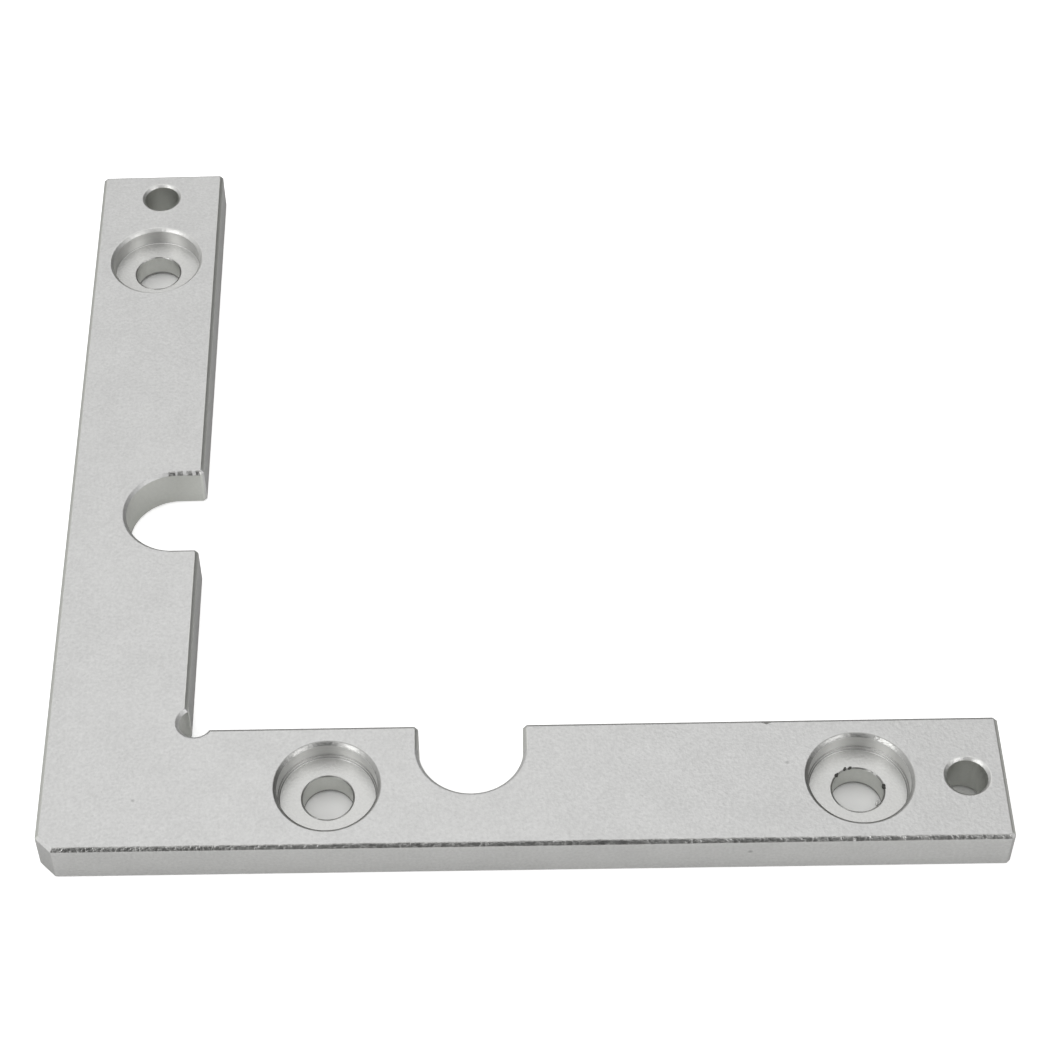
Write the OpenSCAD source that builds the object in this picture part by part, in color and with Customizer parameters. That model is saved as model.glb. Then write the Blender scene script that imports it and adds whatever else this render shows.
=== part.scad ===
// L-shaped corner bracket, machined from one aluminium plate.
// Millimetres, +Z up, underside on Z = 0, origin below the middle of the square that the two arms span.
// The first arm runs along X and the second along Y, and both start at the outer corner.

/* [Plate] */
// Length of each arm, from the outer corner to its end
arm_length = 100; // [80:1:200]
// Width of each arm
arm_width = 15; // [14:0.5:30]
// Thickness of the plate
plate_thickness = 5; // [4:0.5:12]

/* [Edges] */
// Width of the chamfer round the top face
edge_chamfer = 0.35; // [0.1:0.05:0.6]
// Width of the light break round the underside
underside_break = 0.1; // [0.05:0.05:0.4]
// Leg of the break down the upright corners at the arm ends and the notch mouths
corner_break = 0.4; // [0.1:0.1:1]
// Leg of the flat across the outer corner
outer_flat = 1.75; // [1:0.25:5]
// Diameter of the relief bored in the inner corner
relief_diameter = 3.5; // [2.5:0.5:6]
// Distance of the relief's centre out from each inner face
relief_offset = 0.85; // [0.5:0.05:1.2]

/* [Notches] */
// Distance of each notch's centre line from the outer corner
notch_distance = 45; // [43:1:60]
// Width of the notches
notch_width = 11; // [6:0.5:14]
// Length of each notch's straight sides, from the inner face to the start of its round end
notch_side = 3; // [1:0.5:6]

/* [Screw holes] */
// Diameter of the holes that the screws pass through
screw_hole_diameter = 5.3; // [3:0.1:6.5]
// Diameter of the counterbores for the screw heads
counterbore_diameter = 10.5; // [9:0.5:12.5]
// Depth of the counterbores below the top face
counterbore_depth = 2.3; // [1.5:0.1:3]
// Corner radius left by the cutter where a counterbore's wall meets its floor
floor_radius = 0.5; // [0.2:0.1:1]
// Width of the break on the rim of a screw hole, at the counterbore's floor
rim_break = 0.1; // [0.05:0.05:0.3]
// Distance of the inner counterbored hole from the outer corner, on the first arm only
inner_screw_distance = 30; // [22:1:33]
// Distance of the outer counterbored hole from each arm's end
outer_screw_setback = 15; // [13:0.5:25]

/* [End holes] */
// Diameter of the plain hole near each arm's end
end_hole_diameter = 4.2; // [2:0.1:5]
// Width of the countersink round each end hole
end_hole_chamfer = 0.3; // [0.1:0.05:0.6]
// Distance of each end hole from its arm's end
end_hole_setback = 4; // [3.5:0.5:6]

/* [Hidden] */
$fn = 96;
// Every cutter runs this far past the faces that it cuts
overrun = 1;
// Holes lie on the middle line of their arm
arm_middle = arm_width / 2;
notch_radius = notch_width / 2;
notch_centre = arm_width - notch_side;
counterbore_floor = plate_thickness - counterbore_depth;
chamfer_foot = plate_thickness - edge_chamfer;
outer_screw_distance = arm_length - outer_screw_setback;
end_hole_distance = arm_length - end_hole_setback;
relief_centre = arm_width + relief_offset;
// How far the flat across the outer corner lies from the sharp corner it takes off
flat_distance = outer_flat / sqrt(2);
flat_length = 2 * (outer_flat + edge_chamfer + overrun);
// Upright corners that are broken: the first arm's end and its notch's mouth, and the same on the second arm
broken_corners = [
    [arm_length, 0],
    [arm_length, arm_width],
    [notch_distance - notch_radius, arm_width],
    [notch_distance + notch_radius, arm_width]
];

// Half section of a through cut at distance r from its middle: broken at the underside, chamfered at the top
function cut_section(r, top_chamfer) = [
    [0, -overrun],
    [r + underside_break, -overrun],
    [r + underside_break, 0],
    [r, underside_break],
    [r, plate_thickness - top_chamfer],
    [r + top_chamfer, plate_thickness],
    [r + top_chamfer, plate_thickness + overrun],
    [0, plate_thickness + overrun]
];

// Section across a bar of the given width, with its four long edges taken off
function bar_section(width) = [
    [underside_break, 0],
    [width - underside_break, 0],
    [width, underside_break],
    [width, chamfer_foot],
    [width - edge_chamfer, plate_thickness],
    [edge_chamfer, plate_thickness],
    [0, chamfer_foot],
    [0, underside_break]
];

// Places its children on the second arm, as the mirror image of the first across the diagonal
module second_arm() {
    mirror([1, -1, 0])
        children();
}

// One arm as a plain bar along X, chamfered round its top and broken round its underside.
// The long section and the cross section meet in true mitres at the four corners.
module arm_bar() {
    intersection() {
        rotate([90, 0, 90])
            linear_extrude(height = arm_length)
                polygon(bar_section(arm_width));
        translate([0, arm_width, 0])
            rotate([90, 0, 0])
                linear_extrude(height = arm_width)
                    polygon(bar_section(arm_length));
    }
}

// Round through cut with a chamfered top rim and a broken lower rim
module round_cut(diameter, top_chamfer) {
    rotate_extrude()
        polygon(cut_section(diameter / 2, top_chamfer));
}

// Straight through cut that starts on the X axis and runs along +Y, with the same edges as the round one
module straight_cut(width, top_chamfer, length) {
    translate([0, length, 0])
        rotate([90, 0, 0])
            linear_extrude(height = length) {
                polygon(cut_section(width / 2, top_chamfer));
                mirror([1, 0])
                    polygon(cut_section(width / 2, top_chamfer));
            }
}

// U-shaped notch in the inner face, a round end with straight sides that run out through the mouth
module notch() {
    translate([notch_distance, notch_centre, 0]) {
        round_cut(notch_width, edge_chamfer);
        straight_cut(notch_width, edge_chamfer, notch_side + overrun);
    }
}

// Screw hole with a counterbore: chamfered rim, upright wall, rounded foot and flat floor
module counterbored_hole(distance) {
    wall_radius = counterbore_diameter / 2;
    hole_radius = screw_hole_diameter / 2;
    translate([distance, arm_middle, 0]) {
        rotate_extrude() {
            polygon([
                [0, -overrun],
                [hole_radius + underside_break, -overrun],
                [hole_radius + underside_break, 0],
                [hole_radius, underside_break],
                [hole_radius, counterbore_floor - rim_break],
                [hole_radius + rim_break, counterbore_floor],
                [hole_radius + rim_break, counterbore_floor + floor_radius],
                [0, counterbore_floor + floor_radius]
            ]);
            translate([0, counterbore_floor])
                square([wall_radius - floor_radius, floor_radius]);
            translate([wall_radius - floor_radius, counterbore_floor + floor_radius])
                circle(r = floor_radius);
            polygon([
                [0, counterbore_floor + floor_radius],
                [wall_radius, counterbore_floor + floor_radius],
                [wall_radius, chamfer_foot],
                [wall_radius + edge_chamfer, plate_thickness],
                [wall_radius + edge_chamfer, plate_thickness + overrun],
                [0, plate_thickness + overrun]
            ]);
        }
    }
}

// Plain hole near the arm's end
module end_hole() {
    translate([end_hole_distance, arm_middle, 0])
        round_cut(end_hole_diameter, end_hole_chamfer);
}

// Upright break on the corner at the given place, cut by a square post that stands on its diagonal
module upright_break(place) {
    side = corner_break * sqrt(2);
    translate([place[0], place[1], plate_thickness / 2])
        rotate([0, 0, 45])
            cube([side, side, plate_thickness + 2 * overrun], center = true);
}

// Flat across the outer corner, with the same chamfer above it and break below it as every other face
module outer_corner_flat() {
    rotate([90, 0, 225])
        linear_extrude(height = flat_length, center = true)
            polygon([
                [-flat_distance - underside_break, -overrun],
                [-flat_distance - underside_break, 0],
                [-flat_distance, underside_break],
                [-flat_distance, chamfer_foot],
                [-flat_distance - edge_chamfer, plate_thickness],
                [-flat_distance - edge_chamfer, plate_thickness + overrun],
                [overrun, plate_thickness + overrun],
                [overrun, -overrun]
            ]);
}

// What both arms have: the notch, the outer counterbored hole, the end hole and the broken corners
module arm_cuts() {
    notch();
    counterbored_hole(outer_screw_distance);
    end_hole();
    for (place = broken_corners)
        upright_break(place);
}

// The whole bracket
module bracket() {
    color("silver")
        translate([-arm_length / 2, -arm_length / 2, 0])
            difference() {
                union() {
                    arm_bar();
                    second_arm()
                        arm_bar();
                }
                arm_cuts();
                second_arm()
                    arm_cuts();
                counterbored_hole(inner_screw_distance);
                outer_corner_flat();
                translate([relief_centre, relief_centre, 0])
                    round_cut(relief_diameter, edge_chamfer);
            }
}

bracket();
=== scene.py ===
"""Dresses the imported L-bracket: a finely cut copy of its plate, its finishes, and the studio round it."""

import math

import bmesh
import bpy
from mathutils import Matrix, Vector, noise


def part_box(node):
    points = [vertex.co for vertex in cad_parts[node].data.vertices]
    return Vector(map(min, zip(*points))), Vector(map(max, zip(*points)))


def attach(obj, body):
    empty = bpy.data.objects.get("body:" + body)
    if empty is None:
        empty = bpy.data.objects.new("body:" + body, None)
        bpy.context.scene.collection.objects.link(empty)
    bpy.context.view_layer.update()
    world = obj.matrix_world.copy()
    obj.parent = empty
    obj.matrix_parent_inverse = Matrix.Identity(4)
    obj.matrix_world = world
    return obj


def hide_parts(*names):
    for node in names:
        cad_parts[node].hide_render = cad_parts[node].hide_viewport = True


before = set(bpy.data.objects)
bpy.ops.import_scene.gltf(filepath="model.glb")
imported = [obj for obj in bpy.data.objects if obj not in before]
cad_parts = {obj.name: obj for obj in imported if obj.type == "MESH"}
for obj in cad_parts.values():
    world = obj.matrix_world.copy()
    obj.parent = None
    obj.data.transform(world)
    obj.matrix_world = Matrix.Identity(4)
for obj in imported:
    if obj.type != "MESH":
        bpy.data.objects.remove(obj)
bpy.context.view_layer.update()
PLATE_LOW, PLATE_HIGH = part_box("bracket")

bl_info = {
    "name": "L-bracket",
    "version": (1, 0, 0),
    "blender": (4, 5, 0),
    "location": "3D View > Sidebar > L-bracket",
    "description": "Builds a machined L-shaped corner bracket, its finishes and its studio",
    "category": "Object",
}

MM = 0.001
DIAGONAL = math.sqrt(0.5)

# Strip of flat face beside each edge, with points of its own so that it shades flat
MARGIN = 0.1 * MM
# A point this far out serves where only the direction to it counts
FAR_OFF = 1.0
# Rows of points up the plate's outer wall, as shares of its height
WALL_ROWS = (0.3, 0.6, 0.9)
# The relief's arc up to its middle in radians, and how much closer its points stand than the others
RELIEF_SWEEP = 1.85
RELIEF_FINENESS = 1.5
# Points this close outside the relief's radius still have its finish
RELIEF_MARGIN = 0.5 * MM

# The chamfer faces -Y or +Y where the outline runs along X to within this cosine
ALONG_X = 0.94
# The outline is straight where its direction changes by less than this, and on an axis within the second
STRAIGHT_WITHIN = 0.001
AXIS_WITHIN = 0.05
# Patches that the file missed: their size, their seed, and the unevenness from which a place is missed
MISSED_SIZE = 0.5 * MM
MISSED_SEED = 17
MISSED_FROM = 0.1
# How the chamfer's lower and upper edge wander, as size of the features and seed, and the broad part of both
FOOT_WANDER = (0.45 * MM, 3)
HEAD_WANDER = (0.7 * MM, 11)
BROAD_WANDER = 1.6 * MM
# Weights of the small and the broad wander, and how far apart two seeds lie, in sizes of a feature
SMALL_WEIGHT, BROAD_WEIGHT = 0.6, 0.4
SEED_SPACING = 7.0
# The edges wander in full where the outline runs along +X to within this cosine, and by this share elsewhere
WORN_FROM = 0.9
UNWORN_SHARE = 0.25

# Rings that the cutter left round a counterbore's wall: rows of points, depth, and turn of the wave per row
RING_ROWS = 10
RING_DEPTH = 0.008 * MM
RING_TURN = 2.4
# Ledges low on the walls of the first arm's counterbores, as heights above the floor, and their shape
LEDGES = (0.46 * MM, 0.14 * MM)
LEDGE_WIDTH = 0.11 * MM
LEDGE_FALL = 0.12 * MM
LEDGE_TAPER = 0.02 * MM
# Radius at the foot of the second arm's counterbore, as a share of the solid's
FOOT_SHARE = 0.3
# Raised lip round a screw hole: its height and half width, and how far it drops into the hole
LIP = 0.09 * MM
LIP_DROP = 0.03 * MM
# Last part of a screw hole above the break at the underside, darkened as painted contact shadow where the hole
# meets the paper
BORE_FOOT = 0.22 * MM
# Radius of the circle that a section is turned along
PATH_RADIUS = 3.0 * MM
# Points closer than this are merged, and edges that bend more than this are sharp
MERGE_DISTANCE = 0.002 * MM
SHARP_ANGLE = math.radians(22.0)

# On the first arm's outer screw hole: bearing in degrees, mm from its axis, mm above the counterbore's floor
BURRS = (
    (139.0, 2.74, 0.02), (134.0, 2.78, 0.02), (113.3, 2.8, 0.06), (102.2, 2.76, 0.04), (10.6, 2.76, 0.04),
    (5.0, 2.7, 0.0),
)
CHIP = ((-42.8, 2.44, -0.05),)
BURR_SEED, CHIP_SEED = 4, 2
BURR_GRAIN = 0.2 * MM
# Least and greatest turn of a burr in radians, and its least and greatest stretch
BURR_TURNS = ((-0.4, -0.4, 0.0), (0.4, 0.4, 6.28))
BURR_STRETCHES = ((0.5, 0.4, 0.4), (1.1, 0.8, 0.9))

# Broad clouds in a finish's shade, and their weight beside the grain's
CLOUD_SIZE = 4.0 * MM
CLOUD_WEIGHT = 0.35
# Where the two patterns together are darkest and lightest, and the share of the tint that lightens
DARKEST_AT, LIGHTEST_AT = 0.35, 1.0
LIGHTER_SHARE = 0.3
# Dark specks: mm along X, Y and Z from the outer corner, reach in mm, and shade at the middle
SPECKS = ((77.7, 9.5, 5.0, 0.32, 0.75), (9.9, 6.0, 5.0, 0.28, 0.75), (73.3, 0.0, 3.0, 0.36, 0.7))
SPECK_CORE = 0.2

# Half the floor's width in metres, its drop below the bracket, and extra light that only the camera sees
FLOOR_REACH = 12.0
FLOOR_DROP = 0.19 * MM
FLOOR_OVEREXPOSURE = 0.5
# Half the width of the papers under the holes, and how far they lie above the floor
PAPER_REACH = 3.0 * MM
PAPER_RISE = 0.01 * MM
# Zones of the room: azimuth, elevation, inner and outer reach in degrees, and share of its strength within
ROOM_STRENGTH = 0.85
ROOM_ZONES = (
    (-90.0, 28.0, 13.0, 21.0, 0.02),
    (40.0, 8.0, 20.0, 58.0, 0.2),
    (-150.0, 10.0, 15.0, 50.0, 1.2),
)
# Softboxes: name, place and side in metres, and watts
SOFTBOXES = (
    ("softbox_top", (0.0, 0.5, 1.05), 1.0, 2.3),
    ("softbox_left", (-0.8, -0.72, 0.75), 0.5, 3.1),
    ("softbox_right", (0.8, -0.72, 0.75), 0.5, 2.3),
)


def linear(colour):
    """Turns an sRGB colour written as #RRGGBB into the linear RGBA that Blender's sockets hold."""
    shades = [int(colour[i:i + 2], 16) / 255.0 for i in (1, 3, 5)]
    return (*[c / 12.92 if c <= 0.04045 else ((c + 0.055) / 1.055) ** 2.4 for c in shades], 1.0)


def add_node(tree, kind, settings=None, inputs=None):
    """Adds a node to a tree, applies its settings, and sets each input or links it to an output."""
    made = tree.nodes.new(kind)
    for name, value in (settings or {}).items():
        setattr(made, name, value)
    for key, value in (inputs or {}).items():
        if isinstance(value, bpy.types.NodeSocket):
            tree.links.new(value, made.inputs[key])
        else:
            made.inputs[key].default_value = value
    return made


def length(name, description, millimetres):
    """A length property in metres, given in millimetres."""
    return bpy.props.FloatProperty(
        name=name, description=description, default=millimetres * MM, min=0.0, unit="LENGTH", precision=5
    )


def colour(name, description, value):
    """A colour property, given as #RRGGBB."""
    return bpy.props.FloatVectorProperty(
        name=name, description=description, default=linear(value), size=4, min=0.0, max=1.0, subtype="COLOR"
    )


class BracketSizes(bpy.types.PropertyGroup):
    """Sizes of the bracket, the same as its solid's, and sizes of its wear."""

    arm_length: bpy.props.FloatProperty(
        name="Arm length", description="From the outer corner to an arm's end",
        default=PLATE_HIGH.x - PLATE_LOW.x, unit="LENGTH", precision=5,
    )
    thickness: bpy.props.FloatProperty(
        name="Thickness", description="Thickness of the plate",
        default=PLATE_HIGH.z - PLATE_LOW.z, unit="LENGTH", precision=5,
    )
    arm_width: length("Arm width", "Width of each arm", 15.0)
    edge_chamfer: length("Edge chamfer", "Chamfer round the top face", 0.35)
    underside_break: length("Underside break", "Break round the underside", 0.1)
    corner_break: length("Corner break", "Leg of the break down the upright corners", 0.4)
    outer_flat: length("Outer flat", "Leg of the flat across the outer corner", 1.75)
    relief_radius: length("Relief radius", "Radius of the relief in the inner corner", 1.75)
    relief_offset: length("Relief offset", "The relief's centre out from each inner face", 0.85)
    notch_distance: length("Notch distance", "From the outer corner to a notch's centre line", 45.0)
    notch_radius: length("Notch radius", "Radius of a notch's round end", 5.5)
    notch_side: length("Notch side", "Length of a notch's straight sides", 3.0)
    screw_hole_radius: length("Screw hole radius", "Radius of the screw holes", 2.65)
    counterbore_radius: length("Counterbore radius", "Radius of the counterbores", 5.25)
    counterbore_depth: length("Counterbore depth", "Depth of the counterbores", 2.3)
    floor_radius: length("Floor radius", "Corner radius at the foot of a counterbore's wall", 0.5)
    inner_screw: length("Inner screw", "From the outer corner to the inner screw hole", 30.0)
    outer_screw_setback: length("Outer screw setback", "From an arm's end to its outer screw hole", 15.0)
    end_hole_radius: length("End hole radius", "Radius of the end holes", 2.1)
    end_hole_chamfer: length("End hole chamfer", "Countersink round an end hole", 0.3)
    end_hole_setback: length("End hole setback", "From an arm's end to its end hole", 4.0)
    head_rounding: length("Head rounding", "Radius that blasting leaves on a chamfer's upper edge", 0.2)
    foot_rounding: length("Foot rounding", "Radius that blasting leaves on a chamfer's lower edge", 0.06)
    edge_wander: length("Edge wander", "How far a chamfer's edges wander from true", 0.05)
    nick_distance: length("Nick distance", "From the outer corner to the nick in an inner edge", 76.0)
    nick_depth: length("Nick depth", "How far the nick reaches in from the chamfer", 0.25)
    nick_reach: length("Nick reach", "Half the nick's width", 0.5)
    burr_size: length("Burr size", "Radius of the largest burr on a screw hole's rim", 0.24)
    chip_size: length("Chip size", "Radius of the chip that hangs on a screw hole's rim", 0.34)
    grid_step: length("Grid step", "Distance between the points along the outline", 0.25)
    hole_sides: bpy.props.IntProperty(
        name="Hole sides", description="Number of sides that a hole is drawn with", default=144, min=24
    )


class BracketFinish(bpy.types.PropertyGroup):
    """Colours of the finishes."""

    blasted: colour("Blasted", "Blasted and clear anodised faces", "#CACAC9")
    # Darker copy of the rims' colour: painted shade on the first arm's rims and on the screw holes' lips
    rim: colour("Rim", "Turned rims of the first arm's counterbores and of the screw holes", "#A6A6A4")
    # Brighter copy of the rims' colour: painted light on the second arm's rim, the end holes' rims and the chip
    bright_rim: colour("Bright rim", "Rims of the second arm's counterbore and of the end holes", "#CCCCCA")
    machined: colour("Machined", "Bright walls of the counterbores", "#E0E0DE")
    faced: colour("Faced", "Floors of the counterbores", "#C9C9C7")
    # Darker than the blasted faces: partly painted shade on the chamfers that face -Y
    filed: colour("Filed", "Filed chamfers of the outline", "#B6B6B4")
    milled: colour("Milled", "Walls of the notches and the relief, and milled chamfers", "#C9CAC6")
    drilled: colour("Drilled", "Walls of the drilled holes", "#D4D5D1")
    # Dark colour that paints shade at the ledges, at the screw holes' ends and on the chamfers that face +Y
    shade_lines: colour("Shade lines", "Stained ledges, ends of screw holes and chamfers that face +Y", "#9A9A98")
    torn: colour("Torn", "Burrs that the drill left", "#565654")
    floor: colour("Floor", "Pale studio floor", "#F4F4F3")


class BracketStudio(bpy.types.PropertyGroup):
    """The studio's camera."""

    focal_length: bpy.props.FloatProperty(
        name="Focal length", description="On a sensor 36 mm wide", default=91.588, min=10.0, unit="CAMERA"
    )
    sideways_shift: bpy.props.FloatProperty(
        name="Sideways shift", description="How far the photograph was cropped off centre, in picture widths",
        default=0.13878, precision=5,
    )
    place: bpy.props.FloatVectorProperty(
        name="Place", description="Where the camera stands", size=3, subtype="TRANSLATION", unit="LENGTH",
        default=(-0.003782, -0.197716, 0.236160), precision=5,
    )
    azimuth: bpy.props.FloatProperty(
        name="Azimuth", description="Turn of the camera round the bracket", default=math.radians(3.3094),
        unit="ROTATION",
    )
    elevation: bpy.props.FloatProperty(
        name="Elevation", description="Height of the camera above the horizon", default=math.radians(50.5467),
        unit="ROTATION",
    )
    roll: bpy.props.FloatProperty(
        name="Roll", description="Turn of the camera about its own axis", default=math.radians(-3.6442),
        unit="ROTATION",
    )


# The plate's finishes, in the order of its materials
FINISHES = (
    "blasted_anodised", "filed_chamfer", "turned_rim", "turned_counterbore", "spot_faced_floor",
    "drilled_wall", "milled_wall", "milled_chamfer", "cutter_line", "countersunk_rim",
)
BLASTED, FILED, SHADED_RIM, TURNED, FACED, DRILLED, MILLED, TRIMMED, SHADE_LINE, LIT_RIM = range(len(FINISHES))
PROPERTY_GROUPS = {
    "bracket_sizes": BracketSizes, "bracket_finish": BracketFinish, "bracket_studio": BracketStudio,
}


# Outline

def crossing(first, second):
    """Where two lines meet, each given as (x, y) of its unit normal and its distance along it."""
    (a, b, c), (d, e, f) = first, second
    det = a * e - b * d
    return Vector(((c * e - b * f) / det, (a * f - c * d) / det))


def run(start, end, count):
    """Points on a straight line, without its last, each with the direction of travel."""
    way = (end - start).normalized()
    return [(start.lerp(end, i / count), way) for i in range(count)]


def sweep(centre, radius, start, end, count):
    """Points on a clockwise arc, without its last, each with the direction of travel."""
    points = []
    for i in range(count):
        angle = start + (end - start) * i / count
        way = Vector((math.sin(angle), -math.cos(angle)))
        points.append((centre + radius * Vector((math.cos(angle), math.sin(angle))), way))
    return points


def half_outline(size, inset):
    """From the outer flat's middle round the first arm to the relief's middle, moved inwards by inset."""
    step = size.grid_step
    reach, width, arm, leg = size.notch_radius, size.arm_width, size.arm_length, size.corner_break
    near, far = size.notch_distance - reach, size.notch_distance + reach
    notch = Vector((size.notch_distance, width - size.notch_side))
    # Straight sides in order, each as its outward normal and its distance along it
    sides = [
        (-DIAGONAL, -DIAGONAL, -size.outer_flat * DIAGONAL),
        (0.0, -1.0, 0.0),
        (DIAGONAL, -DIAGONAL, (arm - leg) * DIAGONAL),
        (1.0, 0.0, arm),
        (DIAGONAL, DIAGONAL, (arm + width - leg) * DIAGONAL),
        (0.0, 1.0, width),
        (-DIAGONAL, DIAGONAL, (width - far - leg) * DIAGONAL),
        (-1.0, 0.0, -far),
        (1.0, 0.0, near),
        (DIAGONAL, DIAGONAL, (near + width - leg) * DIAGONAL),
        (0.0, 1.0, width),
    ]
    sides = [(x, y, d - inset) for x, y, d in sides]
    middle = size.outer_flat / 2 + inset * DIAGONAL
    relief = Vector((1.0, 1.0)) * (width + size.relief_offset)
    relief_reach = size.relief_radius + inset
    below = width - inset - relief.y
    relief_start = Vector((relief.x + math.sqrt(relief_reach ** 2 - below ** 2), width - inset))
    corners = [Vector((middle, middle))]
    corners += [crossing(sides[i], sides[i + 1]) for i in range(7)]
    corners += [Vector((far + inset, notch.y)), Vector((near - inset, notch.y))]
    corners += [crossing(sides[8], sides[9]), crossing(sides[9], sides[10]), relief_start]
    break_count = max(2, round(leg / DIAGONAL / step))
    # Points from each corner to the next, with 0 for the notch's round end
    counts = [
        max(4, round(size.outer_flat * DIAGONAL / step)), round(arm / step), break_count, round(width / step),
        break_count, round((arm - far) / step), break_count, round(size.notch_side / step), 0,
        round(size.notch_side / step), break_count, round((near - relief.x) / step),
    ]
    points = []
    for i, count in enumerate(counts):
        if count:
            points += run(corners[i], corners[i + 1], count)
        else:
            points += sweep(notch, reach + inset, 0.0, -math.pi, round(math.pi * reach / step))
    start = math.atan2(below, relief_start.x - relief.x)
    end = -0.75 * math.pi
    relief_count = round(size.relief_radius * RELIEF_SWEEP / step * RELIEF_FINENESS)
    points += sweep(relief, relief_reach, start, end, relief_count)
    last = relief + relief_reach * Vector((math.cos(end), math.sin(end)))
    points.append((last, Vector((-DIAGONAL, DIAGONAL))))
    return points


def outline(size, inset):
    """The closed outline, with the same number of points at any inset, each with the direction of travel."""
    first = half_outline(size, inset)
    second = [(p.yx, -t.yx) for p, t in reversed(first[1:-1])]
    return first + second


def to_row(size, x, y, z):
    """A point measured from the outer corner, in the row's frame."""
    return Vector((x - size.arm_length / 2, y - size.arm_length / 2, z))


def hole_places(size):
    """Where the first arm's screw holes, the second arm's and the end holes lie, from the outer corner."""
    middle, arm = size.arm_width / 2, size.arm_length
    outer, end = arm - size.outer_screw_setback, arm - size.end_hole_setback
    return [(size.inner_screw, middle), (outer, middle)], [(middle, outer)], [(end, middle), (middle, end)]


def rounded(corner, before, after, radius, steps=3):
    """Points of a small rounding at a section's corner, from the side of before to the side of after."""
    corner, before, after = Vector(corner), Vector(before), Vector(after)
    one, two = (before - corner).normalized(), (after - corner).normalized()
    half = one.angle(two) / 2
    reach = radius / math.tan(half)
    centre = corner + (one + two).normalized() * (radius / math.sin(half))
    start, end = corner + one * reach - centre, corner + two * reach - centre
    turn = start.angle_signed(end)
    return [centre + Matrix.Rotation(-turn * i / steps, 2) @ start for i in range(steps + 1)]


def shake(point, scale, seed):
    """Smooth, repeatable unevenness between about -1 and 1 at a point, with features of the given size."""
    return noise.noise(Vector((point.x, point.y, seed * scale * SEED_SPACING)) / scale)


def wander(point, small, seed):
    """Unevenness with small features over the broad ones."""
    broad = shake(point, BROAD_WANDER, seed + 2)
    return shake(point, small, seed) * SMALL_WEIGHT + broad * BROAD_WEIGHT


def plate_stations(size):
    """Loops of the outer wall from the underside up, as (inset, height, edge that wanders, finish above)."""
    top, chamfer, broken = size.thickness, size.edge_chamfer, size.underside_break
    start = broken + MARGIN
    foot = rounded((0.0, top - chamfer), (0.0, 0.0), (chamfer, top), size.foot_rounding)
    head = rounded((chamfer, top), (0.0, top - chamfer), (FAR_OFF, top), size.head_rounding)
    span = foot[0].y - start
    low = [(start, 0.0), (broken, 0.0), (0.0, broken), (0.0, start)]
    stations = [(inset, height, None, BLASTED) for inset, height in low]
    stations += [(0.0, start + span * row, None, BLASTED) for row in WALL_ROWS]
    stations += [(p.x, p.y, "foot", FILED) for p in foot]
    stations += [(p.x, p.y, "head", FILED) for p in head[:-1]]
    stations += [(head[-1].x, head[-1].y, "head", BLASTED), (chamfer + MARGIN, top, "head", BLASTED)]
    return stations


def in_cutout(size, point):
    """Whether a point of the outline lies on a notch's or the relief's wall."""
    x, y = max(point.x, point.y), min(point.x, point.y)
    near, far = size.notch_distance - size.notch_radius, size.notch_distance + size.notch_radius
    lip, width = size.corner_break, size.arm_width
    in_notch = near - lip < x < far + lip and width / 4 < y < width - lip
    from_relief = (point - Vector((1.0, 1.0)) * (width + size.relief_offset)).length
    return in_notch or from_relief < size.relief_radius + RELIEF_MARGIN


def chamfer_finish(size, points, ways, i):
    """Finish of the chamfer that starts at point i of the outline."""
    way = ways[i]
    following = ways[(i + 1) % len(ways)]
    # Chamfers that face -Y take the darker filed colour, which is partly painted shade.
    if way.x > ALONG_X:
        missed = in_cutout(size, points[i]) and shake(points[i], MISSED_SIZE, MISSED_SEED) > MISSED_FROM
        return BLASTED if missed else FILED
    straight = min((way - ways[i - 1]).length, (way - following).length) < STRAIGHT_WITHIN
    # Straight chamfers that face +Y take the dark colour: painted shade along the far edges.
    if straight and way.x < -ALONG_X:
        return SHADE_LINE
    return TRIMMED if straight and min(abs(way.x), abs(way.y)) < AXIS_WITHIN else BLASTED


def wall_finish(size, stations, row, points, ways, i):
    """Finish of the outer wall above a row of stations, from point i of the outline."""
    finish = stations[row][3]
    if finish == FILED:
        return chamfer_finish(size, points, ways, i)
    between_faces = 0 < row < len(stations) - 2
    return MILLED if between_faces and in_cutout(size, points[i]) else finish


def add_wall(bm, size, travel):
    """Adds the plate's outer wall to a mesh, and returns its lowest and highest loop of points."""
    loops = []
    stations = plate_stations(size)
    plain, ways = zip(*outline(size, 0.0))
    nick_place = Vector((size.nick_distance, size.arm_width))
    for inset, height, edge, _ in stations:
        loop = []
        for (point, way), base in zip(outline(size, inset), plain):
            drift = size.edge_wander * (1.0 if way.x > WORN_FROM else UNWORN_SHARE)
            rise = wander(base, *FOOT_WANDER) * drift if edge == "foot" else 0.0
            if edge == "head":
                nick = size.nick_depth * max(0.0, 1.0 - (base - nick_place).length / size.nick_reach)
                point = point + Vector((-way.y, way.x)) * (wander(base, *HEAD_WANDER) * drift + nick)
            vert = bm.verts.new(to_row(size, point.x, point.y, height + rise))
            vert[travel] = (way.x, way.y, 0.0)
            loop.append(vert)
        loops.append(loop)
    for row, (lower, upper) in enumerate(zip(loops, loops[1:])):
        for i in range(len(lower)):
            j = (i + 1) % len(lower)
            face = bm.faces.new((lower[i], lower[j], upper[j], upper[i]))
            face.material_index = wall_finish(size, stations, row, plain, ways, i)
    return loops[0], loops[-1]


# Holes

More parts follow.
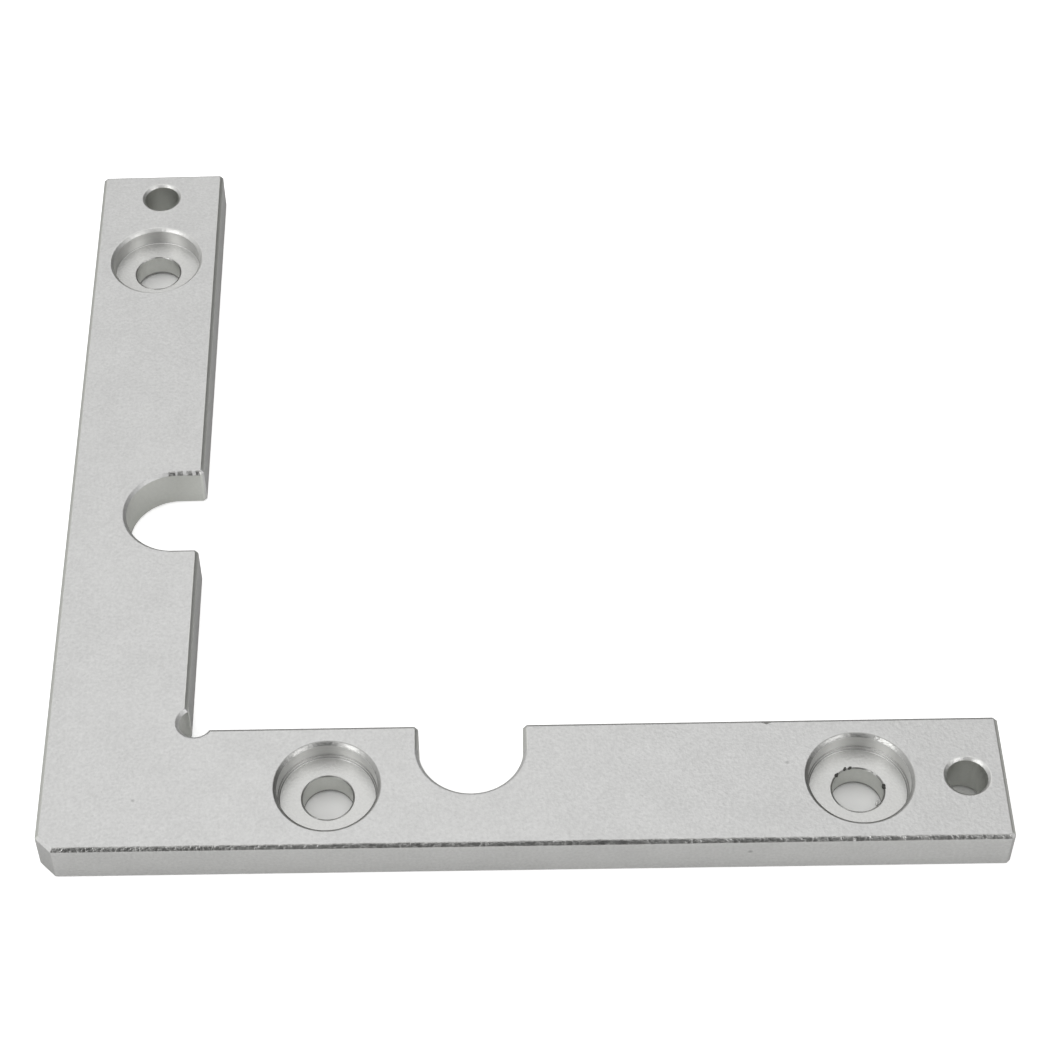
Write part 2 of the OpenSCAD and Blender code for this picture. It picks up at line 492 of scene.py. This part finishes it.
def section_head(size, radius, chamfer, rim_finish, bore_finish):
    """Top of a hole's section: the strip of flat face, the chamfered rim and the start of the wall."""
    top, rim_radius = size.thickness, radius + chamfer
    head = rounded((rim_radius, top), (radius + FAR_OFF, top), (radius, top - chamfer), size.head_rounding)
    foot = rounded((radius, top - chamfer), (rim_radius, top), (radius, 0.0), size.foot_rounding)
    points = [(rim_radius + MARGIN, top, BLASTED)]
    points += [(p.x, p.y, rim_finish) for p in head]
    points += [(p.x, p.y, bore_finish) for p in foot]
    return points


def section_foot(size, radius):
    """Bottom of a hole's section: the break at the underside and the strip of flat face."""
    broken = size.underside_break
    ending = radius + broken
    return [(radius, broken, BLASTED), (ending, 0.0, BLASTED), (ending + MARGIN, 0.0, BLASTED)]


def counterbore_section(size, rim_finish, ledges):
    """Section of a counterbored hole from the top face down, as (radius, height, finish of the next band)."""
    wall, hole = size.counterbore_radius, size.screw_hole_radius
    floor, broken = size.thickness - size.counterbore_depth, size.underside_break
    points = section_head(size, wall, size.edge_chamfer, rim_finish, TURNED)
    start, end = size.thickness - size.edge_chamfer - MARGIN, floor + size.floor_radius
    for i in range(RING_ROWS):
        height = start + (end - start) * i / (RING_ROWS - 1)
        points.append((wall + RING_DEPTH * math.sin(i * RING_TURN), height, TURNED))
    for ledge in ledges:
        # The slope under each ledge takes the dark colour: painted shade of the groove.
        points.append((wall, floor + ledge, SHADE_LINE))
        wall -= LEDGE_WIDTH
        points.append((wall, floor + ledge - LEDGE_FALL, TURNED))
        wall -= LEDGE_TAPER
    if ledges:
        points += [(wall, floor, FACED), (wall - MARGIN, floor, FACED)]
    else:
        bend = rounded((wall, floor), (wall, size.thickness), (0.0, floor), FOOT_SHARE * size.floor_radius)
        points += [(p.x, p.y, FACED) for p in bend]
    # The lip takes the darker rim colour: painted shade that rings the hole.
    points += [(hole + 2 * LIP + MARGIN, floor, FACED), (hole + 2 * LIP, floor, SHADED_RIM)]
    points += [(hole + LIP, floor + LIP, SHADED_RIM), (hole, floor - LIP_DROP, DRILLED)]
    # The bore's last part takes the dark colour: painted contact shadow where it meets the paper.
    points += [(hole, floor - LIP_DROP - MARGIN, DRILLED), (hole, broken + BORE_FOOT, SHADE_LINE)]
    points.append((hole, broken + MARGIN, SHADE_LINE))
    return points + section_foot(size, hole)


def end_hole_section(size):
    """Section of an end hole, as counterbore_section gives it."""
    hole, chamfer = size.end_hole_radius, size.end_hole_chamfer
    # The end hole's rim takes the brighter rim colour: painted light.
    points = section_head(size, hole, chamfer, LIT_RIM, DRILLED)
    points.append((hole, size.thickness - chamfer - MARGIN, DRILLED))
    points.append((hole, size.underside_break + MARGIN, DRILLED))
    return points + section_foot(size, hole)


def point_mesh(name, points, edges=()):
    """A mesh of loose points, joined by the given edges."""
    mesh = bpy.data.meshes.new(name)
    mesh.from_pydata([tuple(p) for p in points], list(edges), [])
    return mesh


def grow(holder, tree, values):
    """Runs a Geometry Nodes tree on an object with the given inputs, and returns the mesh that it makes."""
    modifier = holder.modifiers.new(tree.name, "NODES")
    modifier.node_group = tree
    for item in tree.interface.items_tree:
        if item.item_type == "SOCKET" and item.in_out == "INPUT" and item.name in values:
            modifier[item.identifier] = values[item.name]
    graph = bpy.context.evaluated_depsgraph_get()
    mesh = bpy.data.meshes.new_from_object(holder.evaluated_get(graph))
    holder.modifiers.remove(modifier)
    return mesh


def section_mesh(section):
    """A section as lines beside the circle that it is turned along, with separate points for each finish."""
    points, edges, marks = [], [], []
    for (r0, z0, band), (r1, z1, _) in zip(section, section[1:]):
        if not marks or marks[-1] != band:
            points.append((r0 - PATH_RADIUS, -z0, 0.0))
            marks.append(band)
        points.append((r1 - PATH_RADIUS, -z1, 0.0))
        marks.append(band)
        edges.append((len(points) - 2, len(points) - 1))
    line = point_mesh("section", points, edges)
    finish = line.attributes.new("finish", "FLOAT", "POINT")
    for i, mark in enumerate(marks):
        finish.data[i].value = mark
    return line


def turned_hole_tree():
    """Geometry Nodes that turn a section about a hole's axis and repeat it at each place."""
    tree = bpy.data.node_groups.new("Turned hole", "GeometryNodeTree")
    face = tree.interface
    face.new_socket("Section", in_out="INPUT", socket_type="NodeSocketGeometry")
    sockets = (("Path radius", "NodeSocketFloat"), ("Sides", "NodeSocketInt"), ("Places", "NodeSocketObject"))
    for name, kind in sockets:
        face.new_socket(name, in_out="INPUT", socket_type=kind)
    for finish in FINISHES:
        face.new_socket(finish, in_out="INPUT", socket_type="NodeSocketMaterial")
    face.new_socket("Geometry", in_out="OUTPUT", socket_type="NodeSocketGeometry")
    given = add_node(tree, "NodeGroupInput").outputs
    section = add_node(tree, "GeometryNodeMeshToCurve", inputs={"Mesh": given["Section"]})
    circle = add_node(
        tree, "GeometryNodeCurvePrimitiveCircle", {"mode": "RADIUS"},
        {"Resolution": given["Sides"], "Radius": given["Path radius"]},
    )
    turned = add_node(
        tree, "GeometryNodeCurveToMesh",
        inputs={"Curve": circle.outputs["Curve"], "Profile Curve": section.outputs["Curve"]},
    )
    places = add_node(tree, "GeometryNodeObjectInfo", inputs={"Object": given["Places"]})
    holes = add_node(
        tree, "GeometryNodeInstanceOnPoints",
        inputs={"Points": places.outputs["Geometry"], "Instance": turned.outputs["Mesh"]},
    )
    real = add_node(tree, "GeometryNodeRealizeInstances", inputs={"Geometry": holes.outputs["Instances"]})
    shape = real.outputs["Geometry"]
    finish_id = add_node(tree, "GeometryNodeInputNamedAttribute", {"data_type": "FLOAT"}, {"Name": "finish"})
    for i, finish in enumerate(FINISHES):
        chosen = add_node(
            tree, "FunctionNodeCompare", {"data_type": "FLOAT", "operation": "GREATER_THAN"},
            {"A": finish_id.outputs["Attribute"], "B": i - 0.5},
        )
        shape = add_node(
            tree, "GeometryNodeSetMaterial",
            inputs={"Geometry": shape, "Selection": chosen.outputs["Result"], "Material": given[finish]},
        ).outputs["Geometry"]
    add_node(tree, "NodeGroupOutput", inputs={"Geometry": shape})
    return tree


def add_holes(bm, size, materials, tree, section, places, travel):
    """Turns a section at the given places and adds the result to a mesh."""
    spots = [to_row(size, x, y, 0.0) for x, y in places]
    holder = bpy.data.objects.new("section", section_mesh(section))
    marks = bpy.data.objects.new("places", point_mesh("places", spots))
    for helper in (holder, marks):
        bpy.context.collection.objects.link(helper)
    values = {"Path radius": PATH_RADIUS, "Sides": size.hole_sides, "Places": marks}
    values.update(zip(FINISHES, materials))
    made = grow(holder, tree, values)
    order = [materials.index(bpy.data.materials[m.name]) if m else BLASTED for m in made.materials]
    for polygon in made.polygons:
        polygon.material_index = order[polygon.material_index]
    old = set(bm.verts)
    bm.from_mesh(made)
    for vert in bm.verts:
        if vert not in old:
            away = min((vert.co.xy - spot.xy for spot in spots), key=lambda v: v.length).normalized()
            vert[travel] = (-away.y, away.x, 0.0)
    for helper in (holder, marks):
        bpy.data.objects.remove(helper)


def rim(bm, size, place, radius, height):
    """Adds a loop of points on a hole's rim, where the turned section's end lies."""
    loop = []
    for i in range(size.hole_sides):
        angle = 2.0 * math.pi * i / size.hole_sides
        x, y = place[0] + radius * math.cos(angle), place[1] + radius * math.sin(angle)
        loop.append(bm.verts.new(to_row(size, x, y, height)))
    return loop


def fill(bm, loops, finish):
    """Fills the flat area between an outer loop and the loops of its holes."""
    edges = []
    for loop in loops:
        for a, b in zip(loop, loop[1:] + loop[:1]):
            edges.append(bm.edges.get((a, b)) or bm.edges.new((a, b)))
    made = bmesh.ops.triangle_fill(bm, use_beauty=True, use_dissolve=False, edges=edges)
    for item in made["geom"]:
        if isinstance(item, bmesh.types.BMFace):
            item.material_index = finish


def build_plate(size, materials):
    """The whole bracket as one closed mesh."""
    bm = bmesh.new()
    travel = bm.verts.layers.float_vector.new("tool_path")
    first_screws, second_screw, ends = hole_places(size)
    holes = [
        # The first arm's rims take the darker rim colour, painted shade, and the second arm's the brighter one,
        # painted light.
        (counterbore_section(size, SHADED_RIM, LEDGES), first_screws),
        (counterbore_section(size, LIT_RIM, ()), second_screw),
        (end_hole_section(size), ends),
    ]
    tree = turned_hole_tree()
    for section, places in holes:
        add_holes(bm, size, materials, tree, section, places, travel)
    low, high = add_wall(bm, size, travel)
    tops, bottoms = [high], [low]
    for section, places in holes:
        for place in places:
            tops.append(rim(bm, size, place, section[0][0], size.thickness))
            bottoms.append(rim(bm, size, place, section[-1][0], 0.0))
    fill(bm, tops, BLASTED)
    fill(bm, bottoms, BLASTED)
    bmesh.ops.remove_doubles(bm, verts=bm.verts, dist=MERGE_DISTANCE)
    bmesh.ops.recalc_face_normals(bm, faces=bm.faces)
    open_edges = [e for e in bm.edges if len(e.link_faces) != 2]
    if open_edges:
        raise RuntimeError(f"the bracket's mesh has {len(open_edges)} open edges")
    mesh = bpy.data.meshes.new("bracket_plate")
    bm.to_mesh(mesh)
    bm.free()
    bpy.data.node_groups.remove(tree)
    for material in materials:
        mesh.materials.append(material)
    mesh.shade_smooth()
    mesh.set_sharp_from_angle(angle=SHARP_ANGLE)
    return mesh


def burr_tree():
    """Geometry Nodes that stand a small torn lump, each turned and sized by a fixed seed, on every point."""
    tree = bpy.data.node_groups.new("Burrs", "GeometryNodeTree")
    face = tree.interface
    face.new_socket("Places", in_out="INPUT", socket_type="NodeSocketGeometry")
    sockets = (("Size", "NodeSocketFloat"), ("Seed", "NodeSocketInt"), ("Finish", "NodeSocketMaterial"))
    for name, kind in sockets:
        face.new_socket(name, in_out="INPUT", socket_type=kind)
    face.new_socket("Geometry", in_out="OUTPUT", socket_type="NodeSocketGeometry")
    given = add_node(tree, "NodeGroupInput").outputs
    ball = add_node(tree, "GeometryNodeMeshIcoSphere", inputs={"Radius": given["Size"], "Subdivisions": 3})
    ragged = add_node(tree, "ShaderNodeTexNoise", inputs={"Scale": 1.0 / BURR_GRAIN, "Detail": 1.0})
    centred = add_node(
        tree, "ShaderNodeVectorMath", {"operation": "SUBTRACT"},
        {0: ragged.outputs["Color"], 1: (0.5, 0.5, 0.5)},
    )
    shift = add_node(
        tree, "ShaderNodeVectorMath", {"operation": "SCALE"},
        {"Vector": centred.outputs[0], "Scale": given["Size"]},
    )
    lump = add_node(
        tree, "GeometryNodeSetPosition", inputs={"Geometry": ball.outputs["Mesh"], "Offset": shift.outputs[0]}
    )
    turn, stretch = [
        add_node(
            tree, "FunctionNodeRandomValue", {"data_type": "FLOAT_VECTOR"},
            {0: least, 1: most, "Seed": given["Seed"]},
        )
        for least, most in (BURR_TURNS, BURR_STRETCHES)
    ]
    stood = add_node(
        tree, "GeometryNodeInstanceOnPoints",
        inputs={
            "Points": given["Places"], "Instance": lump.outputs["Geometry"], "Rotation": turn.outputs[0],
            "Scale": stretch.outputs[0],
        },
    )
    real = add_node(tree, "GeometryNodeRealizeInstances", inputs={"Geometry": stood.outputs["Instances"]})
    shape = add_node(
        tree, "GeometryNodeSetMaterial",
        inputs={"Geometry": real.outputs["Geometry"], "Material": given["Finish"]},
    )
    add_node(tree, "NodeGroupOutput", inputs={"Geometry": shape.outputs["Geometry"]})
    return tree


def rim_points(size, places):
    """Points on the first arm's outer screw hole, given as BURRS gives them."""
    _, (x, y) = hole_places(size)[0]
    floor = size.thickness - size.counterbore_depth
    points = []
    for degrees, away, up in places:
        angle, reach = math.radians(degrees), away * MM
        points.append(to_row(size, x + reach * math.cos(angle), y + reach * math.sin(angle), floor + up * MM))
    return points


# Finishes

def metal(name, shade, roughness, grain, depth, tint, grazing=0.4, anisotropy=0.0, streak=None, specks=()):
    """A bare or clear anodised aluminium finish: its grain as bump, with a fine and a broad change of shade.

    The grain's size and depth are in mm. The tint is how far the shade falls, grazing is how much a flat
    angle mirrors, streak stretches the grain, and each speck is (place, reach in mm, shade at the middle).
    """
    material = bpy.data.materials.new(name)
    material.use_nodes = True
    tree = material.node_tree
    tree.nodes.clear()
    place = add_node(tree, "ShaderNodeTexCoord").outputs["Object"]
    if streak:
        stretched = add_node(tree, "ShaderNodeMapping", inputs={"Vector": place, "Scale": streak})
        place = stretched.outputs["Vector"]
    fine = add_node(
        tree, "ShaderNodeTexNoise",
        inputs={"Vector": place, "Scale": 1.0 / (grain * MM), "Detail": 2.0, "Roughness": 0.6},
    )
    cloud = add_node(
        tree, "ShaderNodeTexNoise", inputs={"Vector": place, "Scale": 1.0 / CLOUD_SIZE, "Detail": 3.0}
    )
    both = add_node(
        tree, "ShaderNodeMath", {"operation": "MULTIPLY_ADD"},
        {0: cloud.outputs["Fac"], 1: CLOUD_WEIGHT, 2: fine.outputs["Fac"]},
    )
    level = add_node(
        tree, "ShaderNodeMapRange",
        inputs={
            "Value": both.outputs[0], "From Min": DARKEST_AT, "From Max": LIGHTEST_AT, "To Min": 1.0 - tint,
            "To Max": 1.0 + LIGHTER_SHARE * tint,
        },
    )
    for spot, reach, darkest in specks:
        away = add_node(tree, "ShaderNodeVectorMath", {"operation": "DISTANCE"}, {0: place, 1: spot})
        dark = add_node(
            tree, "ShaderNodeMapRange", {"interpolation_type": "SMOOTHSTEP"},
            {
                "Value": away.outputs["Value"], "From Min": SPECK_CORE * reach * MM, "From Max": reach * MM,
                "To Min": darkest, "To Max": 1.0,
            },
        )
        level = add_node(
            tree, "ShaderNodeMath", {"operation": "MULTIPLY"}, {0: level.outputs[0], 1: dark.outputs[0]}
        )
    shaded = add_node(
        tree, "ShaderNodeVectorMath", {"operation": "SCALE"}, {"Vector": shade[:3], "Scale": level.outputs[0]}
    )
    bump = add_node(
        tree, "ShaderNodeBump",
        inputs={"Strength": 1.0, "Distance": depth * MM, "Height": fine.outputs["Fac"]},
    )
    shader = add_node(
        tree, "ShaderNodeBsdfPrincipled",
        inputs={
            "Base Color": shaded.outputs[0], "Metallic": 1.0, "Roughness": roughness,
            "Normal": bump.outputs["Normal"], "Specular Tint": (grazing, grazing, grazing, 1.0),
        },
    )
    if anisotropy:
        # The quarter turn spreads highlights across the tool's path.
        shader.inputs["Anisotropic"].default_value = anisotropy
        shader.inputs["Anisotropic Rotation"].default_value = 0.25
        way = add_node(tree, "ShaderNodeAttribute", {"attribute_name": "tool_path"})
        tree.links.new(way.outputs["Vector"], shader.inputs["Tangent"])
    add_node(tree, "ShaderNodeOutputMaterial", inputs={"Surface": shader.outputs[0]})
    return material


def make_finishes(size, finish):
    """The plate's finishes, in the order of FINISHES."""
    specks = [(to_row(size, x * MM, y * MM, z * MM), reach, darkest) for x, y, z, reach, darkest in SPECKS]
    return [
        # Glass-bead blasting leaves close, soft dimples, so the faces are even and satin with a fine speckle.
        metal(
            "blasted_anodised", finish.blasted, roughness=0.5, grain=0.34, depth=0.04, tint=0.15,
            grazing=0.25, specks=specks,
        ),
        # The chamfers in front are filed by hand after blasting, and chatter breaks up what they mirror. Their
        # darker colour is partly painted shade, over the dark zone of the room that they mirror.
        metal("filed_chamfer", finish.filed, roughness=0.28, grain=0.5, depth=0.1, tint=0.55, grazing=0.25),
        # Turned rims are smooth, so they mirror the pale room at their sides and its dark zone at their tops.
        # Their darker colour is painted shade.
        metal("turned_rim", finish.rim, roughness=0.33, grain=0.3, depth=0.04, tint=0.08, grazing=0.9),
        # The counterbore cutter leaves rings round the wall, which spread highlights up and down it.
        metal(
            "turned_counterbore", finish.machined, roughness=0.42, grain=0.35, depth=0.02, tint=0.08,
            grazing=0.8, anisotropy=0.8, streak=(0.06, 0.06, 2.5),
        ),
        # The cutter's end leaves the floor a little brighter than the blasted faces.
        metal("spot_faced_floor", finish.faced, roughness=0.46, grain=0.3, depth=0.03, tint=0.12, grazing=0.6),
        # Drilled walls are smooth and only dulled by the anodising.
        metal("drilled_wall", finish.drilled, roughness=0.42, grain=0.25, depth=0.01, tint=0.06, grazing=0.8),
        # The side of an end mill leaves the notches' and the relief's walls smooth and satin.
        metal("milled_wall", finish.milled, roughness=0.45, grain=0.4, depth=0.02, tint=0.06, grazing=0.8),
        # The other chamfers are milled, so they are smooth and mirror evenly.
        metal("milled_chamfer", finish.milled, roughness=0.36, grain=0.45, depth=0.01, tint=0.08, grazing=0.18),
        # A dark colour paints the shade of the ledges, of the screw holes' ends and of the chamfers that face
        # +Y.
        metal("cutter_line", finish.shade_lines, roughness=0.45, grain=0.3, depth=0.03, tint=0.08, grazing=0.6),
        # The end holes' countersunk rims and the second arm's counterbore rim are duller than the turned ones,
        # and their brighter colour is painted light.
        metal("countersunk_rim", finish.bright_rim, roughness=0.42, grain=0.3, depth=0.04, tint=0.08, grazing=0.8),
    ]


def paper(name, shade, overexposure):
    """Matt white paper. Overexposure burns it out to white in the picture, but not in what mirrors it."""
    material = bpy.data.materials.new(name)
    material.use_nodes = True
    tree = material.node_tree
    tree.nodes.clear()
    shader = add_node(tree, "ShaderNodeBsdfDiffuse", inputs={"Color": shade})
    if overexposure:
        seen = add_node(tree, "ShaderNodeLightPath").outputs["Is Camera Ray"]
        extra = add_node(tree, "ShaderNodeMath", {"operation": "MULTIPLY"}, {0: seen, 1: overexposure})
        glow = add_node(tree, "ShaderNodeEmission", inputs={"Strength": extra.outputs[0]})
        shader = add_node(tree, "ShaderNodeAddShader", inputs={0: shader.outputs[0], 1: glow.outputs[0]})
    add_node(tree, "ShaderNodeOutputMaterial", inputs={"Surface": shader.outputs[0]})
    return material


# Operators

class BRACKET_OT_plate(bpy.types.Operator):
    """Build the bracket's plate over its solid"""

    bl_idname = "bracket.plate"
    bl_label = "Bracket plate"

    def execute(self, context):
        size = context.scene.bracket_sizes
        materials = make_finishes(size, context.scene.bracket_finish)
        plate = bpy.data.objects.new("bracket_plate", build_plate(size, materials))
        context.collection.objects.link(plate)
        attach(plate, "root")
        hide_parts("bracket")
        return {"FINISHED"}


class BRACKET_OT_burrs(bpy.types.Operator):
    """Stand the burrs and the chip on the outer screw hole's rim"""

    bl_idname = "bracket.burrs"
    bl_label = "Drill burrs"

    def execute(self, context):
        size = context.scene.bracket_sizes
        tree = burr_tree()
        # The burrs take a dark colour, so they show as dark specks on the rim.
        torn = metal(
            "torn_burr", context.scene.bracket_finish.torn, roughness=0.45, grain=0.1, depth=0.02, tint=0.1
        )
        for name, places, radius, seed, finish in (
            ("drill_burrs", BURRS, size.burr_size, BURR_SEED, torn),
            # The chip takes the brighter rim colour, with its painted light.
            ("drill_chip", CHIP, size.chip_size, CHIP_SEED, bpy.data.materials["countersunk_rim"]),
        ):
            piece = bpy.data.objects.new(name, point_mesh(name, rim_points(size, places)))
            context.collection.objects.link(piece)
            piece.data = grow(piece, tree, {"Size": radius, "Seed": seed, "Finish": finish})
            piece.data.shade_smooth()
            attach(piece, "root")
        bpy.data.node_groups.remove(tree)
        return {"FINISHED"}


class BRACKET_OT_stage(bpy.types.Operator):
    """Lay the floor, light it and place the camera"""

    bl_idname = "bracket.stage"
    bl_label = "Stage"

    def execute(self, context):
        scene = context.scene
        self.lay_floor(context, scene.bracket_finish, scene.bracket_sizes)
        self.light_world(scene)
        self.hang_softboxes(context)
        self.place_camera(context, scene.bracket_studio)
        scene.view_settings.view_transform = "Standard"
        scene.view_settings.look = "None"
        return {"FINISHED"}

    def lay_floor(self, context, finish, size):
        """A broad white floor just under the bracket, and the plain paper that shows through its holes."""
        height = PAPER_RISE - FLOOR_DROP
        under = [to_row(size, x, y, height) for places in hole_places(size) for x, y in places]
        middle = [Vector((0.0, 0.0, -FLOOR_DROP))]
        for name, centres, reach, material in (
            ("floor", middle, FLOOR_REACH, paper("overexposed_paper", finish.floor, FLOOR_OVEREXPOSURE)),
            ("paper_under_holes", under, PAPER_REACH, paper("matt_paper", finish.floor, 0.0)),
        ):
            corners = [reach * Vector(corner) for corner in ((-1, -1, 0), (1, -1, 0), (1, 1, 0), (-1, 1, 0))]
            points = [tuple(centre + corner) for centre in centres for corner in corners]
            mesh = bpy.data.meshes.new(name)
            mesh.from_pydata(points, [], [tuple(range(i, i + 4)) for i in range(0, len(points), 4)])
            mesh.materials.append(material)
            sheet = bpy.data.objects.new(name, mesh)
            context.collection.objects.link(sheet)

    def light_world(self, scene):
        """A pale room with a dark zone low in front, which the chamfers that face it mirror."""
        world = bpy.data.worlds.new("pale_room")
        world.use_nodes = True
        tree = world.node_tree
        tree.nodes.clear()
        way = add_node(tree, "ShaderNodeTexCoord").outputs["Generated"]
        strength = ROOM_STRENGTH
        for azimuth, elevation, inner, outer, share in ROOM_ZONES:
            turn, lift = math.radians(azimuth), math.radians(elevation)
            level = math.cos(lift)
            aim = Vector((level * math.cos(turn), level * math.sin(turn), math.sin(lift)))
            toward = add_node(tree, "ShaderNodeVectorMath", {"operation": "DOT_PRODUCT"}, {0: way, 1: aim})
            zone = add_node(
                tree, "ShaderNodeMapRange", {"interpolation_type": "SMOOTHSTEP"},
                {
                    "Value": toward.outputs["Value"], "From Min": math.cos(math.radians(outer)),
                    "From Max": math.cos(math.radians(inner)), "To Min": 1.0, "To Max": share,
                },
            )
            lit = add_node(
                tree, "ShaderNodeMath", {"operation": "MULTIPLY"}, {0: strength, 1: zone.outputs[0]}
            )
            strength = lit.outputs[0]
        light = add_node(
            tree, "ShaderNodeBackground", inputs={"Color": (1.0, 1.0, 1.0, 1.0), "Strength": strength}
        )
        add_node(tree, "ShaderNodeOutputWorld", inputs={"Surface": light.outputs[0]})
        scene.world = world

    def hang_softboxes(self, context):
        """Large soft lights overhead and to both sides of the camera."""
        for name, place, side, watts in SOFTBOXES:
            lamp = bpy.data.lights.new(name, "AREA")
            lamp.shape = "SQUARE"
            lamp.size = side
            lamp.energy = watts
            holder = bpy.data.objects.new(name, lamp)
            holder.location = place
            holder.rotation_mode = "QUATERNION"
            holder.rotation_quaternion = Vector(place).to_track_quat("Z", "Y")
            holder.visible_camera = False
            context.collection.objects.link(holder)

    def place_camera(self, context, studio):
        """The photograph's own view."""
        data = bpy.data.cameras.new("camera")
        data.sensor_width = 36.0
        data.lens = studio.focal_length
        data.shift_x = studio.sideways_shift
        data.clip_start, data.clip_end = 0.01, 50.0
        camera = bpy.data.objects.new("camera", data)
        context.collection.objects.link(camera)
        azimuth, elevation, roll = studio.azimuth, studio.elevation, studio.roll
        level = math.cos(elevation)
        back = Vector((math.sin(azimuth) * level, -math.cos(azimuth) * level, math.sin(elevation)))
        right = (-back).cross(Vector((0.0, 0.0, 1.0))).normalized()
        up = right.cross(-back)
        across = math.cos(roll) * right + math.sin(roll) * up
        upward = -math.sin(roll) * right + math.cos(roll) * up
        turn = Matrix((across, upward, back)).transposed()
        camera.matrix_world = Matrix.Translation(studio.place) @ turn.to_4x4()
        context.scene.camera = camera


class BRACKET_PT_panel(bpy.types.Panel):
    """The bracket's operators and settings"""

    bl_label = "L-bracket"
    bl_idname = "BRACKET_PT_panel"
    bl_space_type = "VIEW_3D"
    bl_region_type = "UI"
    bl_category = "L-bracket"

    def draw(self, context):
        for operator in OPERATORS:
            self.layout.operator(operator.bl_idname)
        for group, kind in PROPERTY_GROUPS.items():
            box = self.layout.box()
            for name in kind.__annotations__:
                box.prop(getattr(context.scene, group), name)


OPERATORS = (BRACKET_OT_plate, BRACKET_OT_burrs, BRACKET_OT_stage)
CLASSES = (*PROPERTY_GROUPS.values(), *OPERATORS, BRACKET_PT_panel)


def register():
    """Registers the classes and hangs the settings on the scene."""
    for kind in CLASSES:
        bpy.utils.register_class(kind)
    for group, kind in PROPERTY_GROUPS.items():
        setattr(bpy.types.Scene, group, bpy.props.PointerProperty(type=kind))


def unregister():
    """Takes the settings and classes away again."""
    for group in PROPERTY_GROUPS:
        delattr(bpy.types.Scene, group)
    for kind in reversed(CLASSES):
        bpy.utils.unregister_class(kind)


def main():
    """Builds the bracket and its stage."""
    register()
    bpy.ops.bracket.plate()
    bpy.ops.bracket.burrs()
    bpy.ops.bracket.stage()


if __name__ == "__main__":
    main()
